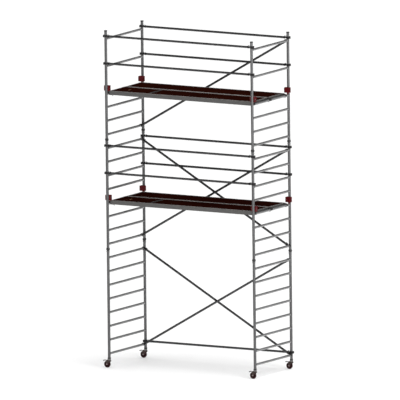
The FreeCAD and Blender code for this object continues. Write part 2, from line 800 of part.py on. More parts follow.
def bracket_master():
    """Block that grips a post from the inside and holds a board in its slot."""
    block = new_body("bracket_block")
    sketch = new_sketch(block, "YZ_Plane")
    slot_end = "dims.slot_start + dims.slot_width"
    floor = "dims.bracket_bottom + 10"
    corners = [
        ("6", "dims.bracket_bottom"),
        ("dims.bracket_depth", "dims.bracket_bottom"),
        ("dims.bracket_depth", "dims.bracket_top"),
        (slot_end, "dims.bracket_top"),
        (slot_end, floor),
        ("dims.slot_start", floor),
        ("dims.slot_start", "dims.bracket_top"),
        ("6", "dims.bracket_top"),
    ]
    add_outline(sketch, corners)
    pad(block, sketch, "dims.bracket_width")
    leg = new_body("bracket_leg")
    sketch = new_sketch(leg, "XY_Plane")
    add_rectangle(sketch, "-17", "17", "0", f"{POST_RADIUS} + 6")
    pad(leg, sketch, "dims.bracket_bottom - dims.leg_bottom", symmetric=False)
    leg.setExpression("Placement.Base.z", "dims.leg_bottom")
    whole = doc.addObject("Part::Fuse", "bracket_whole")
    whole.Base = block
    whole.Tool = leg
    grip = doc.addObject("Part::Cylinder", "bracket_grip")
    grip.setExpression("Radius", f"{POST_RADIUS} + 0.15")
    grip.setExpression("Height", "2 * dims.bracket_top")
    bracket = doc.addObject("Part::Cut", "toe_board_bracket")
    bracket.Base = whole
    bracket.Tool = grip
    return bracket


def make_brackets():
    bracket = bracket_master()
    for tier, level in zip(PLATFORM_TIERS, ("lower", "upper")):
        members = []
        for side, row in CORNERS:
            place = (f"{side} * {HALF_LENGTH}", f"{row} * {HALF_WIDTH}")
            height = rung_height(tier, PLATFORM_RUNG)
            members.append(copy_of(bracket, *place, height, turned(row)))
        sub_part(f"{level}_toe_board_brackets", members)


# --- Casters ---------------------------------------------------------------

KINGPIN_RADIUS = "dims.kingpin_diameter / 2"
AXLE_RADIUS = "dims.axle_diameter / 2"
AXLE_HEIGHT = "dims.wheel_diameter / 2"
RACE_BOTTOM = "(dims.caster_height - dims.stem_flange)"


def stem_master():
    """Fixed race and hollow stem: a stepped ring turned about the swivel axis."""
    body = new_body("caster_stem")
    sketch = new_sketch(body, "XZ_Plane")
    bore = f"{KINGPIN_RADIUS} + dims.bearing_play"
    race = "dims.collar_diameter / 2 - 0.5"
    stem = "dims.spigot_diameter / 2 - 0.1"
    top = "dims.caster_height + 110"
    corners = [(bore, RACE_BOTTOM), (race, RACE_BOTTOM), (race, "dims.caster_height")]
    corners += [(stem, "dims.caster_height"), (stem, top), (bore, top)]
    add_outline(sketch, corners)
    revolve(body, sketch, "V_Axis")
    return body


def fork_plates():
    """Two side plates with round axle eyes and an ear for the pedal's pin."""
    body = new_body("fork_plates")
    sketch = new_sketch(body, "XZ_Plane")
    corners = [
        ("-dims.trail - 15", AXLE_HEIGHT),
        ("-dims.trail + 15", AXLE_HEIGHT),
        ("26", "116"),
        ("26", "133"),
        ("-dims.pedal_back + 8", "dims.pedal_height + 5"),
        ("-dims.pedal_back - 8", "dims.pedal_height + 5"),
    ]
    add_outline(sketch, corners)
    pad(body, sketch, "48")
    eye = new_body("fork_eyes")
    sketch = new_sketch(eye, "XZ_Plane")
    add_circle(sketch, "-dims.trail", AXLE_HEIGHT, "15")
    pad(eye, sketch, "48")
    whole = doc.addObject("Part::Fuse", "fork_sides")
    whole.Base = body
    whole.Tool = eye
    return whole


def fork_master():
    """Fork of bent plate: two sides and a crown, open for wheel and pedal."""
    crown = new_body("fork_crown")
    sketch = new_sketch(crown, "XZ_Plane")
    add_rectangle(sketch, "-32", "26", "128", "133")
    pad(crown, sketch, "48")
    room = doc.addObject("Part::Box", "fork_room")
    room.Length = 300
    room.Width = 40
    room.Height = 300
    room.Placement.Base = Vector(-200, -20, -100)
    sides = doc.addObject("Part::Cut", "fork_open_sides")
    sides.Base = fork_plates()
    sides.Tool = room
    cup = cylinder("fork_cup", "28", ("0", "0", "133"), f"{RACE_BOTTOM} - 133.5")
    kingpin = cylinder("kingpin", KINGPIN_RADIUS, ("0", "0", "130"), "100")
    whole = doc.addObject("Part::MultiFuse", "fork_whole")
    whole.Shapes = [crown, sides, cup, kingpin]
    bores = doc.addObject("Part::MultiFuse", "fork_bores")
    axle_bore = cross_pin("axle_bore", AXLE_RADIUS, "-dims.trail", AXLE_HEIGHT, "60")
    pedal_place = ("-dims.pedal_back", "dims.pedal_height", "60")
    pedal_bore = cross_pin("pedal_bore", "dims.pedal_pin / 2", *pedal_place)
    bores.Shapes = [axle_bore, pedal_bore]
    fork = doc.addObject("Part::Cut", "caster_fork")
    fork.Base = whole
    fork.Tool = bores
    return fork


def cylinder(name, radius, base, height):
    """An upright cylinder whose foot lies at base."""
    item = doc.addObject("Part::Cylinder", name)
    item.setExpression("Radius", radius)
    item.setExpression("Height", height)
    for axis, place in zip("xyz", base):
        item.setExpression(f"Placement.Base.{axis}", place)
    return item


def cross_pin(name, radius, across, up, length):
    """A cylinder along Y, centred on the caster's middle plane."""
    item = doc.addObject("Part::Cylinder", name)
    item.Placement.Rotation = Rotation(Vector(1, 0, 0), -90)
    item.setExpression("Radius", radius)
    item.setExpression("Height", length)
    item.setExpression("Placement.Base.x", across)
    item.setExpression("Placement.Base.y", f"-({length}) / 2")
    item.setExpression("Placement.Base.z", up)
    return item


def bolt(name, radius, head, across, up, grip):
    """A cross pin with a round nut against each side of what it grips."""
    shaft = cross_pin(f"{name}_shaft", radius, across, up, grip)
    nuts = cross_pin(f"{name}_nuts", head, across, up, f"{grip} + 10")
    gap = cross_pin(f"{name}_gap", f"{head} + 1", across, up, grip)
    ends = doc.addObject("Part::Cut", f"{name}_ends")
    ends.Base = nuts
    ends.Tool = gap
    return group(name, [shaft, ends])


def hub_master():
    """Hub, web and rim turned about the axle, which runs along Y."""
    body = new_body("wheel_hub")
    sketch = new_sketch(body, "YZ_Plane")
    bore = f"{AXLE_RADIUS} + dims.bearing_play"
    seat = "dims.rim_diameter / 2"
    right = [("18.5", bore), ("18.5", "14"), ("5", "18"), ("4", "38")]
    right += [("14", "40"), ("14", seat)]
    left = [(f"-{across}", up) for across, up in reversed(right)]
    add_outline(sketch, right + left)
    revolve(body, sketch, "H_Axis")
    return body


def tyre_master():
    """Tyre with a rounded tread: a ring cut from a barrel of the tread's radius."""
    body = new_body("tyre")
    sketch = new_sketch(body, "YZ_Plane")
    seat = "dims.rim_diameter / 2"
    tread = "dims.wheel_diameter / 2"
    right = [("14", seat), ("16", "50"), ("15.4", "55"), ("12.5", "59")]
    right += [("8", "61.5"), ("3", tread)]
    left = [(f"-{across}", up) for across, up in reversed(right)]
    add_outline(sketch, right + left)
    revolve(body, sketch, "H_Axis")
    return body


def pedal_master():
    """Brake pedal: tube on its pin, arm over the wheel, foot pad and shoe."""
    arm = new_body("pedal_arm")
    sketch = new_sketch(arm, "XZ_Plane")
    corners = [("0", "2"), ("-62", "-3"), ("-64", "-7"), ("-12", "-3.5")]
    corners += [("-13", "-8"), ("-6", "-8"), ("0", "-5")]
    add_outline(sketch, corners)
    pad(arm, sketch, "38")
    tube = cross_pin("pedal_tube", "6.5", "0", "0", "38")
    foot = new_body("pedal_pad")
    sketch = new_sketch(foot, "XZ_Plane")
    add_outline(sketch, [("-42", "-0.5"), ("-64", "-1.5"), ("-66", "-7"), ("-42", "-5.5")])
    pad(foot, sketch, "52")
    whole = doc.addObject("Part::MultiFuse", "pedal_whole")
    whole.Shapes = [arm, tube, foot]
    radius = "dims.pedal_pin / 2 + dims.bearing_play"
    pedal = doc.addObject("Part::Cut", "brake_pedal")
    pedal.Base = whole
    pedal.Tool = cross_pin("pedal_tube_bore", radius, "0", "0", "60")
    return pedal


def make_casters():
    stem = stem_master()
    fork = fork_master()
    axle = bolt("axle", AXLE_RADIUS, "9", "-dims.trail", AXLE_HEIGHT, "48")
    pedal_place = ("-dims.pedal_back", "dims.pedal_height", "48")
    pedal_pin = bolt("pedal_pin", "dims.pedal_pin / 2", "5", *pedal_place)
    hub = hub_master()
    tyre = tyre_master()
    pedal = pedal_master()
    stems = []
    for side, row in CORNERS:
        across = f"{side} * {HALF_LENGTH}"
        along = f"{row} * {HALF_WIDTH}"
        name = f"{ROWS[row]}_{SIDES[side]}"
        stems.append(copy_of(stem, across, along, 0))
        fixed = [copy_of(item, across, along, 0) for item in (fork, axle, pedal_pin)]
        sub_part(f"{name}_fork", fixed)
        wheel_place = (f"{across} - dims.trail", along, AXLE_HEIGHT)
        sub_part(f"{name}_wheel_hub", [copy_of(hub, *wheel_place)])
        sub_part(f"{name}_tyre", [copy_of(tyre, *wheel_place)])
        pedal_base = (f"{across} - dims.pedal_back", along, "dims.pedal_height")
        sub_part(f"{name}_brake_pedal", [copy_of(pedal, *pedal_base)])
    sub_part("caster_stems", stems)


# --- Building, checking and writing -----------------------------------------

make_frames()
make_spigots()
make_collars()
make_lock_pins()
make_rails()
make_diagonals()
make_boards()
make_lids()
make_hinges()
make_hooks()
make_brackets()
make_casters()
doc.recompute()

for item in doc.Objects:
    if {"Invalid", "Error"} & set(item.State):
        raise RuntimeError(f"{item.Label} failed: {item.State}")
for item in sub_parts:
    if item.Shape.isNull() or not item.Shape.isValid():
        raise RuntimeError(f"{item.Label} has no valid shape")

os.makedirs("parts", exist_ok=True)
for item in sub_parts:
    item.Shape.exportStep(os.path.join("parts", f"{item.Label}.step"))
    print(f"{item.Label}: {len(item.Shape.Solids)} solids, {item.Shape.Volume:.0f} mm3")
print(f"{len(sub_parts)} sub-parts")
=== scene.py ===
import json
import math
import random

import bmesh
import bpy
from mathutils import Matrix, Vector


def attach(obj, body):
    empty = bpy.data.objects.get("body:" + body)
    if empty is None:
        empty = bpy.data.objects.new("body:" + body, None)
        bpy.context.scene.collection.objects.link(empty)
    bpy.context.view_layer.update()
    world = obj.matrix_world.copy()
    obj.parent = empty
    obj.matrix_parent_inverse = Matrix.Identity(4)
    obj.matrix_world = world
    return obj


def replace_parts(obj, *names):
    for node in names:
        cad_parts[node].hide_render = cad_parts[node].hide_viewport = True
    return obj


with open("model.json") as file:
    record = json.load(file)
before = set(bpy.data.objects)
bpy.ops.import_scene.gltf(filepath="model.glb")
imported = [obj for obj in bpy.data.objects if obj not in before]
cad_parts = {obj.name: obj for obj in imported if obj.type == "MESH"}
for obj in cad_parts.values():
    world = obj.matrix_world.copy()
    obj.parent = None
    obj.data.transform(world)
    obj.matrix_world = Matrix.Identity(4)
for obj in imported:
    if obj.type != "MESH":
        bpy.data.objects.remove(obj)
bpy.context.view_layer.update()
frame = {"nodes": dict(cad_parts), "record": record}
nodes = frame["nodes"]
scene = bpy.context.scene


# --- Driving sizes, in metres --------------------------------------------------

SIDES = {-1: "left", 1: "right"}
ROWS = {-1: "front", 1: "back"}
LEVELS = {1: "lower", 2: "upper"}
TIERS = ("base", "middle", "top")

joint_places = {joint["name"]: joint.get("pos_m") for joint in frame["record"]["behaviour"]["joints"]}
HALF_LENGTH, HALF_WIDTH, FRAME_FOOT = joint_places["back_right_caster_swivel"]
POST_RADIUS = 0.025
RUNG_RADIUS = 0.021
RAIL_RADIUS = 0.020
FIRST_RUNG = 0.256
RUNG_PITCH = 0.25
TIER_HEIGHT = 8 * RUNG_PITCH
RUNGS = {0: range(8), 1: range(8), 2: (0, 1, 2, 3, 5, 7)}

DECK_RUNG = 3
PLY_TOP = 0.043
BEAM_TOP = 0.047
BOARD_END = 1.49
BOARD_WIDTH = 0.577
BOARD_GAP = 0.006
FRONT_EDGE = -0.618
BOARD_FRONTS = (FRONT_EDGE, FRONT_EDGE + BOARD_WIDTH + BOARD_GAP)


def rung_height(tier, step):
    """Height of a rung's middle line over the floor."""
    return FIRST_RUNG + tier * TIER_HEIGHT + step * RUNG_PITCH


# --- Camera and stage ----------------------------------------------------------

CAMERA_AZIMUTH = math.radians(30.41)
CAMERA_ELEVATION = math.radians(8.73)
CAMERA_ROLL = math.radians(0.653)
CAMERA_DISTANCE = 25.0
CLIP_END = 100.0
VIEW_WIDTH = 7.222
AIM = Vector((0.0, 0.0, 3.12))
AIM_RIGHT = 0.026
AIM_UP = -0.045

EVEN_LIGHT = 1.04
DARK_WALL = 0.06
BRIGHT_WALL = 0.7
BRIGHT_SIDE = (1.0, -0.35, 0.1)
DARK_UP_TO = -0.2
SUN_SOURCE = (0.16, -0.02, 1.0)
SUN_SPREAD = 22.0
SUN_STRENGTH = 0.6
RIGHT_PLACE = (9.0, -4.0, 6.0)
RIGHT_TARGET = (0.0, 0.0, 3.0)
RIGHT_SIZE = 4.0
RIGHT_POWER = 450.0
FLOOR_REACH = 60.0
FLOOR_TONE = 0.9
FLOOR_ROUGHNESS = 0.9


def make_camera():
    """Parallel view from the front right, a little above the horizon."""
    sin_az, cos_az = math.sin(CAMERA_AZIMUTH), math.cos(CAMERA_AZIMUTH)
    sin_el, cos_el = math.sin(CAMERA_ELEVATION), math.cos(CAMERA_ELEVATION)
    level = Vector((cos_az, sin_az, 0.0))
    upright = Vector((-sin_az * sin_el, cos_az * sin_el, cos_el))
    right = level * math.cos(CAMERA_ROLL) - upright * math.sin(CAMERA_ROLL)
    up = level * math.sin(CAMERA_ROLL) + upright * math.cos(CAMERA_ROLL)
    back = right.cross(up)
    centre = AIM + right * AIM_RIGHT + up * AIM_UP
    data = bpy.data.cameras.new("camera")
    data.type = "ORTHO"
    data.ortho_scale = VIEW_WIDTH
    data.clip_end = CLIP_END
    camera = bpy.data.objects.new("camera", data)
    rotation = Matrix((right, up, back)).transposed().to_4x4()
    camera.matrix_world = Matrix.Translation(centre + back * CAMERA_DISTANCE) @ rotation
    scene.collection.objects.link(camera)
    scene.camera = camera


def make_world():
    """Even white light on the floor and the paint, dark to bright walls for the metal to mirror."""
    world = bpy.data.worlds.new("studio")
    world.use_nodes = True
    tree = world.node_tree
    even = tree.nodes["Background"]
    even.inputs["Color"].default_value = (1.0, 1.0, 1.0, 1.0)
    even.inputs["Strength"].default_value = EVEN_LIGHT
    direction = tree.nodes.new("ShaderNodeTexCoord").outputs["Generated"]
    aim = tree.nodes.new("ShaderNodeVectorMath")
    aim.operation = "DOT_PRODUCT"
    aim.inputs[1].default_value = Vector(BRIGHT_SIDE).normalized()
    tree.links.new(direction, aim.inputs[0])
    lobe = tree.nodes.new("ShaderNodeMapRange")
    lobe.interpolation_type = "SMOOTHSTEP"
    lobe.inputs["From Min"].default_value = DARK_UP_TO
    lobe.inputs["From Max"].default_value = 1.0
    lobe.inputs["To Min"].default_value = DARK_WALL
    lobe.inputs["To Max"].default_value = BRIGHT_WALL
    tree.links.new(aim.outputs["Value"], lobe.inputs["Value"])
    mirrored = tree.nodes.new("ShaderNodeBackground")
    tree.links.new(lobe.outputs["Result"], mirrored.inputs["Strength"])
    ray = tree.nodes.new("ShaderNodeLightPath")
    choose = tree.nodes.new("ShaderNodeMixShader")
    tree.links.new(ray.outputs["Is Glossy Ray"], choose.inputs[0])
    tree.links.new(even.outputs[0], choose.inputs[1])
    tree.links.new(mirrored.outputs[0], choose.inputs[2])
    tree.links.new(choose.outputs[0], tree.nodes["World Output"].inputs["Surface"])
    scene.world = world


def add_sun(name, source, spread, strength):
    """Light from a direction, as soft as its spread in degrees."""
    data = bpy.data.lights.new(name, "SUN")
    data.angle = math.radians(spread)
    data.energy = strength
    light = bpy.data.objects.new(name, data)
    light.rotation_euler = Vector(source).to_track_quat("Z", "Y").to_euler()
    light.visible_glossy = False
    scene.collection.objects.link(light)


def add_area(name, place, target, size, power):
    """A round lamp at a place, turned to a target."""
    data = bpy.data.lights.new(name, "AREA")
    data.shape = "DISK"
    data.size = size
    data.energy = power
    light = bpy.data.objects.new(name, data)
    light.location = place
    aim = Vector(target) - Vector(place)
    light.rotation_euler = aim.to_track_quat("-Z", "Y").to_euler()
    light.visible_camera = False
    scene.collection.objects.link(light)


def make_floor():
    """A pale, dull floor that reaches past the picture's edges."""
    mesh = bpy.data.meshes.new("floor")
    corners = [(x * FLOOR_REACH, y * FLOOR_REACH, 0) for x, y in ((-1, -1), (1, -1), (1, 1), (-1, 1))]
    mesh.from_pydata(corners, [], [(0, 1, 2, 3)])
    floor = bpy.data.objects.new("floor", mesh)
    scene.collection.objects.link(floor)
    material = bpy.data.materials.new("floor")
    material.use_nodes = True
    shader = material.node_tree.nodes["Principled BSDF"]
    shader.inputs["Base Color"].default_value = (FLOOR_TONE, FLOOR_TONE, FLOOR_TONE, 1.0)
    shader.inputs["Roughness"].default_value = FLOOR_ROUGHNESS
    mesh.materials.append(material)


make_camera()
make_world()
add_sun("overhead_light", SUN_SOURCE, SUN_SPREAD, SUN_STRENGTH)
add_area("right_light", RIGHT_PLACE, RIGHT_TARGET, RIGHT_SIZE, RIGHT_POWER)
make_floor()
scene.view_settings.view_transform = "Standard"


# --- Tones ---------------------------------------------------------------------

# The four tube tones are one aluminium: the rungs are set lighter as painted light, and the posts,
# spigots, rails and braces darker as painted shade.
LIT_RUNG_TONE = (0.35, 0.35, 0.353)
SHADED_POST_TONE = (0.145, 0.145, 0.147)
SHADED_RAIL_TONE = (0.100, 0.100, 0.102)
SHADED_BRACE_TONE = (0.090, 0.090, 0.092)
BEAM_TONE = (0.14, 0.137, 0.134)
# Painted light: the lighter colour of the beams' upward faces, standing in for light from above.
TOP_LIGHT_TONE = (0.30, 0.275, 0.265)
DECK_TONE = (0.0118, 0.0022, 0.0012)
DUSTY_DECK_TONE = (0.028, 0.008, 0.005)
DARK_LAYER_TONE = (0.10, 0.055, 0.03)
PALE_LAYER_TONE = (0.22, 0.14, 0.085)
HINGE_TONE = (0.20, 0.19, 0.19)
PIN_TONE = (0.35, 0.35, 0.34)
CATCH_TONE = (0.22, 0.21, 0.21)
STEM_TONE = (0.24, 0.23, 0.23)
RING_TONE = (0.050, 0.050, 0.050)
CLAW_TONE = (0.010, 0.009, 0.010)
LATCH_TONE = (0.014, 0.013, 0.013)
HOOK_TONE = (0.045, 0.042, 0.042)
HOOK_WEAR_TONE = (0.12, 0.115, 0.11)
FORK_TONE = (0.060, 0.042, 0.039)
FORK_WEAR_TONE = (0.035, 0.022, 0.019)
HUB_TONE = (0.26, 0.175, 0.175)
TYRE_TONE = (0.022, 0.003, 0.0045)
PEDAL_TONE = (0.030, 0.021, 0.020)
BRACKET_TONE = (0.090, 0.0035, 0.0055)


# --- Materials -----------------------------------------------------------------

# Scale that gives Blender's band pattern one ridge per metre.
ONE_RIDGE = 0.314

# Repeats per metre of the lines that a die leaves, by the axis that they run along.
DIE_LINES = {"X": (6, 500, 500), "Y": (500, 6, 500), "Z": (500, 500, 6)}

# Past this distance from the middle plane, a ladder frame's metal belongs to its posts.
POSTS_BEYOND = HALF_WIDTH - POST_RADIUS - 0.001

# Over each tier's foot, a lid's metal above this height is its half of the hinge.
LEAF_FROM = rung_height(0, DECK_RUNG) + PLY_TOP + 0.0003


def shade(colour, factor=1.0):
    """A colour made darker or lighter, as the four numbers that a socket takes."""
    return tuple(min(part * factor, 1.0) for part in colour) + (1.0,)


class Recipe:
    """A material's node tree, built up from a few procedural patterns."""

    def __init__(self, name, metallic=0.0, specular=0.5):
        self.material = bpy.data.materials.new(name)
        self.material.use_nodes = True
        self.tree = self.material.node_tree
        self.shader = self.tree.nodes["Principled BSDF"]
        self.shader.inputs["Metallic"].default_value = metallic
        self.shader.inputs["Specular IOR Level"].default_value = specular
        self.place = self.add("ShaderNodeTexCoord").outputs["Object"]

    def add(self, kind, inputs=(), **settings):
        """A node with its settings; inputs are (socket, number or output) pairs."""
        node = self.tree.nodes.new(kind)
        for key, setting in settings.items():
            setattr(node, key, setting)
        for socket, given in inputs:
            if isinstance(given, bpy.types.NodeSocket):
                self.tree.links.new(given, node.inputs[socket])
            else:
                node.inputs[socket].default_value = given
        return node

    def stretched(self, scale):
        """Object coordinates scaled along each axis, in repeats per metre."""
        return self.add("ShaderNodeMapping", [("Vector", self.place), ("Scale", scale)]).outputs["Vector"]

    def noise(self, detail, scale=1.0, place=None):
        """Cloudy pattern with the given repeats per metre, or per unit of another place."""
        inputs = [("Vector", place or self.place), ("Scale", scale), ("Detail", detail)]
        return self.add("ShaderNodeTexNoise", inputs).outputs["Fac"]

    def ridges(self, axis, pitch):
        """Smooth ridges across an axis, one every pitch metres."""
        inputs = [("Vector", self.place), ("Scale", ONE_RIDGE / pitch)]
        settings = {"wave_type": "BANDS", "bands_direction": axis}
        return self.add("ShaderNodeTexWave", inputs, **settings).outputs["Fac"]

    def spread(self, fraction, low, high, start=0.3, end=0.7):
        """Remaps a pattern from start..end to low..high."""
        inputs = [("Value", fraction), ("From Min", start), ("From Max", end)]
        inputs += [("To Min", low), ("To Max", high)]
        return self.add("ShaderNodeMapRange", inputs).outputs["Result"]

    def maths(self, operation, first, second=0.0):
        """One sum of two numbers or outputs."""
        return self.add("ShaderNodeMath", [(0, first), (1, second)], operation=operation).outputs[0]

    def part(self, vector, axis):
        """One coordinate of a vector."""
        return self.add("ShaderNodeSeparateXYZ", [("Vector", vector)]).outputs[axis]

    def beyond(self, axis, distance):
        """1 where the object coordinate's size is over a distance, else 0."""
        size = self.maths("ABSOLUTE", self.part(self.place, axis))
        return self.maths("GREATER_THAN", size, distance)

    def blend(self, fraction, first, second, kind="RGBA"):
        """Mixes two colours or two vectors."""
        node = self.add("ShaderNodeMix", data_type=kind)
        sockets = [socket for socket in node.inputs if socket.name in ("A", "B") and socket.type == kind]
        factor = next(socket for socket in node.inputs if socket.name == "Factor" and socket.enabled)
        self.tree.links.new(fraction, factor)
        for socket, given in zip(sockets, (first, second)):
            if isinstance(given, bpy.types.NodeSocket):
                self.tree.links.new(given, socket)
            else:
                socket.default_value = given
        return next(socket for socket in node.outputs if socket.type == kind and socket.enabled)

    def mottled(self, pattern, colour, dark, light):
        """A colour that a pattern takes from a darker to a lighter shade of it."""
        return self.blend(self.spread(pattern, 0.0, 1.0), shade(colour, dark), shade(colour, light))

    def bump(self, height, strength, depth, before=None):
        """Relief of the given depth in metres, added to an earlier one."""
        inputs = [("Height", height), ("Strength", strength), ("Distance", depth)]
        if before is not None:
            inputs.append(("Normal", before))
        return self.add("ShaderNodeBump", inputs).outputs["Normal"]

    def finish(self, colour, roughness, normal, metallic=None):
        """Links the finished patterns to the shader and gives the material."""
        outputs = {"Base Color": colour, "Roughness": roughness, "Normal": normal, "Metallic": metallic}
        for socket, output in outputs.items():
            if output is not None:
                self.tree.links.new(output, self.shader.inputs[socket])
        return self.material


def drawn_metal(name, colour, roughness, along, metallic=0.9, ribs=None, posts=None, top_light=None):
    """Extruded or drawn metal: fine die lines along an axis, blotched by handling.

    ribs is the pitch of ridges along level tubes, posts the colour of a ladder frame's upright
    posts, which have no ridges, set darker than the rungs as painted shade; the last colour is
    painted light that faces looking up take, as if lit from above, and it makes them less metallic.
    """
    recipe = Recipe(name, metallic)
    lines_place = recipe.stretched(DIE_LINES[along])
    if posts is not None:
        post = recipe.beyond("Y", POSTS_BEYOND)
        lines_place = recipe.blend(post, lines_place, recipe.stretched(DIE_LINES["Z"]), "VECTOR")
    lines = recipe.noise(detail=2.0, place=lines_place)
    blotches = recipe.noise(detail=6.0, scale=5.0)
    specks = recipe.noise(detail=2.0, scale=140.0)
    half_lines = recipe.maths("MULTIPLY", lines, 0.5)
    half_blotches = recipe.maths("MULTIPLY", blotches, 0.5)
    mixed = recipe.maths("ADD", half_lines, half_blotches)
    tone = recipe.mottled(mixed, colour, 0.80, 1.18)
    if posts is not None:
        # Painted shade: the posts take a darker copy of the rungs' metal.
        tone = recipe.blend(post, tone, recipe.mottled(mixed, posts, 0.80, 1.18))
    grime = recipe.spread(specks, 0.0, 0.35, 0.62, 0.8)
    tone = recipe.blend(grime, tone, shade(colour, 0.45))
    rough = recipe.spread(blotches, roughness - 0.07, roughness + 0.10)
    normal = recipe.bump(lines, 0.25, 0.0004)
    top_light_metallic = None
    # Painted light: faces that look up are made lighter and less metallic, as if lit from above, varied a
    # little by the blotches.
    if top_light is not None:
        facing = recipe.add("ShaderNodeNewGeometry").outputs["Normal"]
        upward = recipe.spread(recipe.part(facing, "Z"), 0.0, 1.0, 0.6, 0.9)
        wear_and_top_light = recipe.maths("MULTIPLY", upward, recipe.spread(blotches, 0.75, 1.0))
        tone = recipe.blend(wear_and_top_light, tone, shade(top_light))
        top_light_metallic = recipe.spread(wear_and_top_light, metallic, 0.1, 0.0, 1.0)
    if ribs is not None:
        ridges = recipe.ridges("Z", ribs)
        if posts is not None:
            ridges = recipe.maths("MULTIPLY", ridges, recipe.maths("SUBTRACT", 1.0, post))
        normal = recipe.bump(ridges, 0.35, 0.0006, normal)
    return recipe.finish(tone, rough, normal, top_light_metallic)


def cast(name, colour, roughness, grain, depth, metallic=0.0, wear_and_top_light=None):
    """Cast or moulded surface: fine grain, broad shading and rubbed spots."""
    recipe = Recipe(name, metallic, specular=0.3)
    fine = recipe.noise(detail=3.0, scale=grain)
    broad = recipe.noise(detail=5.0, scale=14.0)
    tone = recipe.mottled(broad, colour, 0.78, 1.22)
    if wear_and_top_light is not None:
        rubbed = recipe.spread(recipe.noise(detail=8.0, scale=38.0), 0.0, 1.0, 0.62, 0.70)
        tone = recipe.blend(rubbed, tone, shade(wear_and_top_light))
    rough = recipe.spread(fine, roughness - 0.08, roughness + 0.10)
    return recipe.finish(tone, rough, recipe.bump(fine, 0.4, depth))


def film_ply(name, colour, leaf=None):
    """Film-faced plywood: a pressed mesh pattern on its faces, glued layers at its edges.

    leaf is the steel colour of the hinge leaf that a lid carries.
    """
    recipe = Recipe(name, specular=0.0)
    inputs = [("Vector", recipe.place), ("Scale", 170.0), ("Randomness", 0.12)]
    cells = recipe.add("ShaderNodeTexVoronoi", inputs, feature="DISTANCE_TO_EDGE")
    mesh = recipe.spread(cells.outputs["Distance"], 1.0, 0.0, 0.0, 0.16)
    scuffs = recipe.noise(detail=7.0, place=recipe.stretched((9, 26, 9)))
    dust = recipe.noise(detail=6.0, scale=2.2)
    tone = recipe.mottled(dust, colour, 0.7, 1.35)
    tone = recipe.blend(recipe.spread(scuffs, 0.0, 0.22, 0.55, 0.75), tone, shade(DUSTY_DECK_TONE))
    tone = recipe.blend(recipe.maths("MULTIPLY", mesh, 0.35), tone, shade(colour, 2.0))
    facing = recipe.add("ShaderNodeTexCoord").outputs["Normal"]
    flatness = recipe.maths("ABSOLUTE", recipe.part(facing, "Z"))
    layers = recipe.blend(recipe.ridges("Z", 0.003), shade(DARK_LAYER_TONE), shade(PALE_LAYER_TONE))
    tone = recipe.blend(recipe.maths("LESS_THAN", flatness, 0.5), tone, layers)
    metal = None
    if leaf is not None:
        over_foot = recipe.maths("MODULO", recipe.part(recipe.place, "Z"), TIER_HEIGHT)
        steel = recipe.maths("GREATER_THAN", over_foot, LEAF_FROM)
        tone = recipe.blend(steel, tone, shade(leaf))
        metal = recipe.maths("MULTIPLY", steel, 0.9)
    rough = recipe.spread(scuffs, 0.42, 0.62)
    return recipe.finish(tone, rough, recipe.bump(mesh, 0.6, 0.0006), metal)


def powder_coat(name, colour, roughness):
    """Thick paint: orange peel, faint runs of tone and chips near handling."""
    recipe = Recipe(name, specular=0.15)
    peel = recipe.noise(detail=2.0, scale=320.0)
    broad = recipe.noise(detail=4.0, scale=11.0)
    tone = recipe.mottled(broad, colour, 0.8, 1.2)
    chips = recipe.spread(recipe.noise(detail=9.0, scale=55.0), 0.0, 1.0, 0.66, 0.69)
    tone = recipe.blend(chips, tone, shade(colour, 0.35))
    rough = recipe.spread(broad, roughness - 0.06, roughness + 0.12)
    return recipe.finish(tone, rough, recipe.bump(peel, 0.35, 0.0005))


def rubber(name, colour):
    """Moulded tread rubber: dull, dusty, with fine pits."""
    recipe = Recipe(name, specular=0.15)
    pits = recipe.noise(detail=4.0, scale=420.0)
    dust = recipe.noise(detail=6.0, scale=24.0)
    tone = recipe.mottled(dust, colour, 0.75, 1.35)
    rough = recipe.spread(dust, 0.55, 0.8)
    return recipe.finish(tone, rough, recipe.bump(pits, 0.35, 0.0005))


